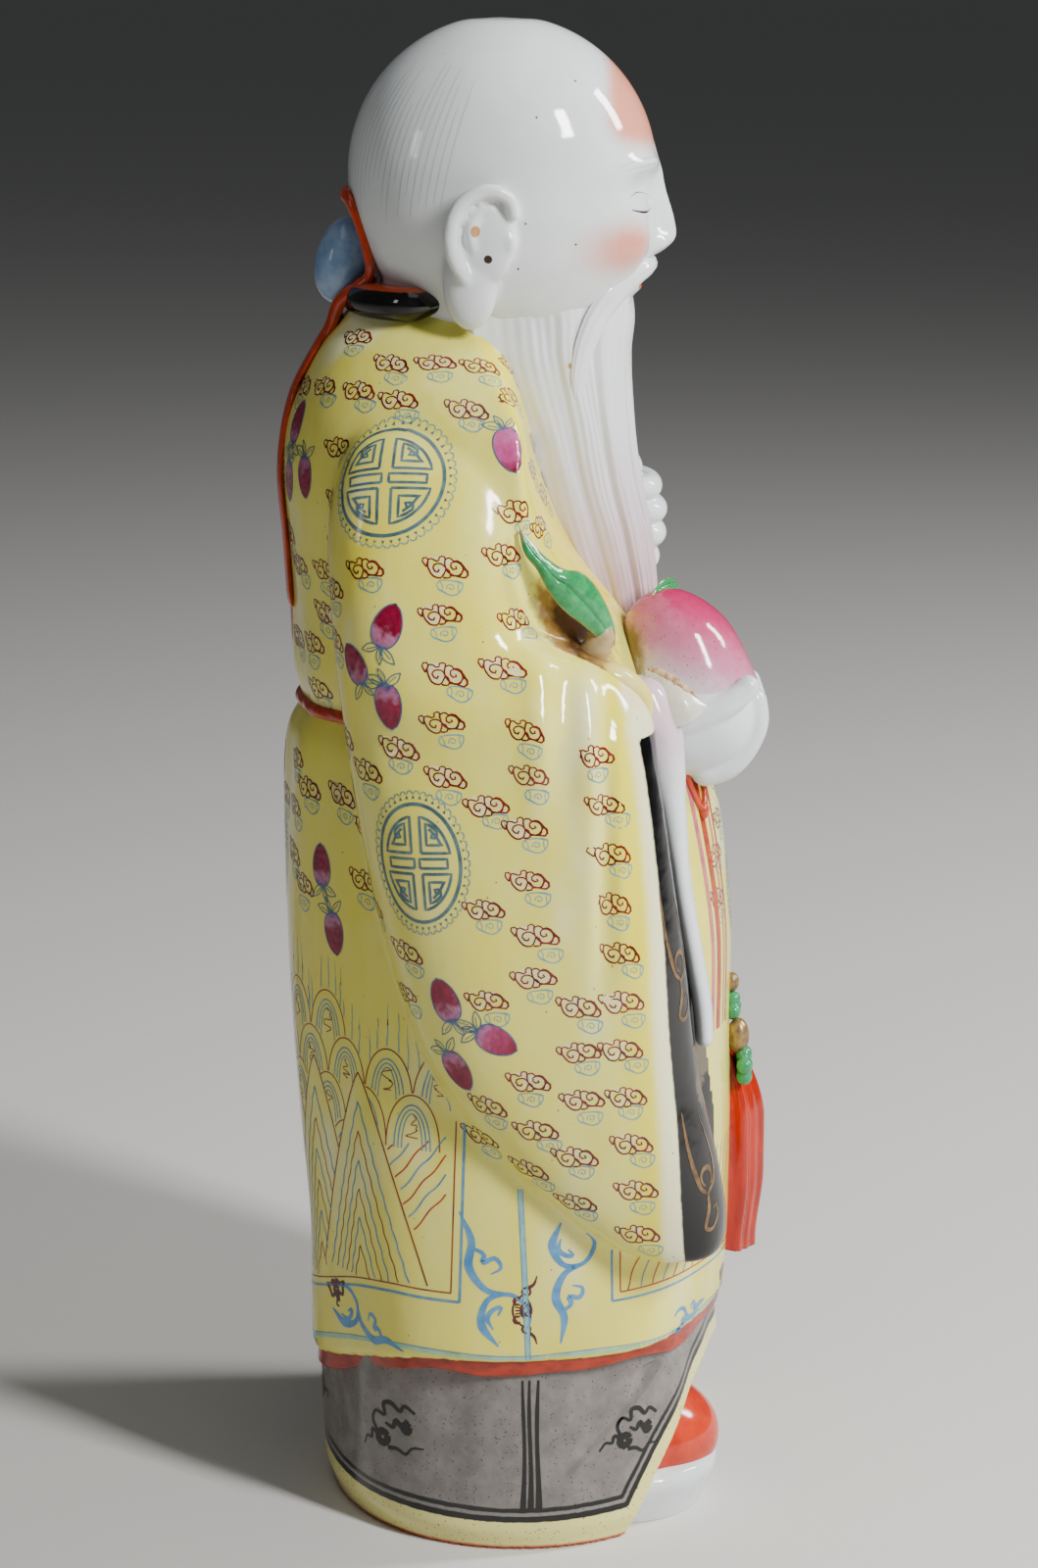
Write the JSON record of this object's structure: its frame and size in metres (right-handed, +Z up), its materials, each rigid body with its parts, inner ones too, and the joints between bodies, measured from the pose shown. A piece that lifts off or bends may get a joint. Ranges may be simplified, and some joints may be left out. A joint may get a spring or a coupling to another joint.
{
  "type": "standing porcelain elder figurine",
  "caption": "Standing robed elder in glazed porcelain, with a high bald dome, a long white beard, hanging sleeves and a peach held at the waist, on a flat foot.",
  "frame": {"origin": "on the ground under the middle of the figure's bounding box", "axes": "+Z up, the figure faces -Y and its left hand is on the +X side"},
  "size_m": [0.1966, 0.1636, 0.5],
  "materials": {
    "porcelain": "glossy glaze"
  },
  "bodies": {
    "root": {"figure": "porcelain"}
  },
  "joints": []
}
